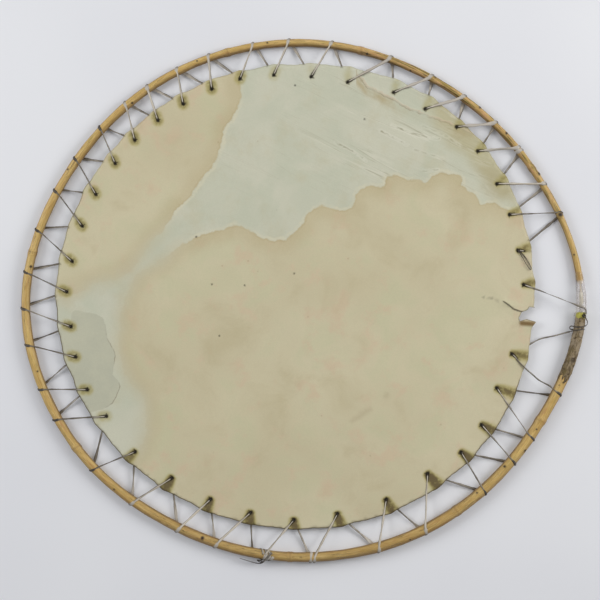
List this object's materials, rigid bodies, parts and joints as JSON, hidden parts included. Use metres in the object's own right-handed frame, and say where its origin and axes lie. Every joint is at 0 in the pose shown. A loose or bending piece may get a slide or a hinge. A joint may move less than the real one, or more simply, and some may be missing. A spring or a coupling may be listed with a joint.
{
  "type": "laced frame drum",
  "caption": "Flat hand drum: a rawhide head laced by a thin thong inside a large bent cane hoop, with a sleeved joint and no jingles.",
  "frame": {"origin": "under the middle of the hoop's outline, on the surface that the drum lies on", "axes": "+Z out of the playing face, +X towards the hoop's joint along its long axis"},
  "size_m": [0.5383, 0.4981, 0.0129],
  "materials": {
    "peeled_cane": "peeled and dried, satin",
    "bark": "rough bark, matte",
    "clear_sleeve": "translucent, slightly cloudy",
    "rawhide": "scraped and dried, satin",
    "thong": "dried flat strip, satin"
  },
  "bodies": {
    "root": {"hoop_stick": "peeled_cane", "butt_bark": "bark", "joint_sleeve": "clear_sleeve", "skin_head": "rawhide", "lower_lace": "thong", "main_lace": "thong", "joint_lace": "thong", "joint_knot": "thong", "stopper_knot": "thong", "splice_knot": "thong", "loose_loop": "thong"}
  },
  "joints": []
}
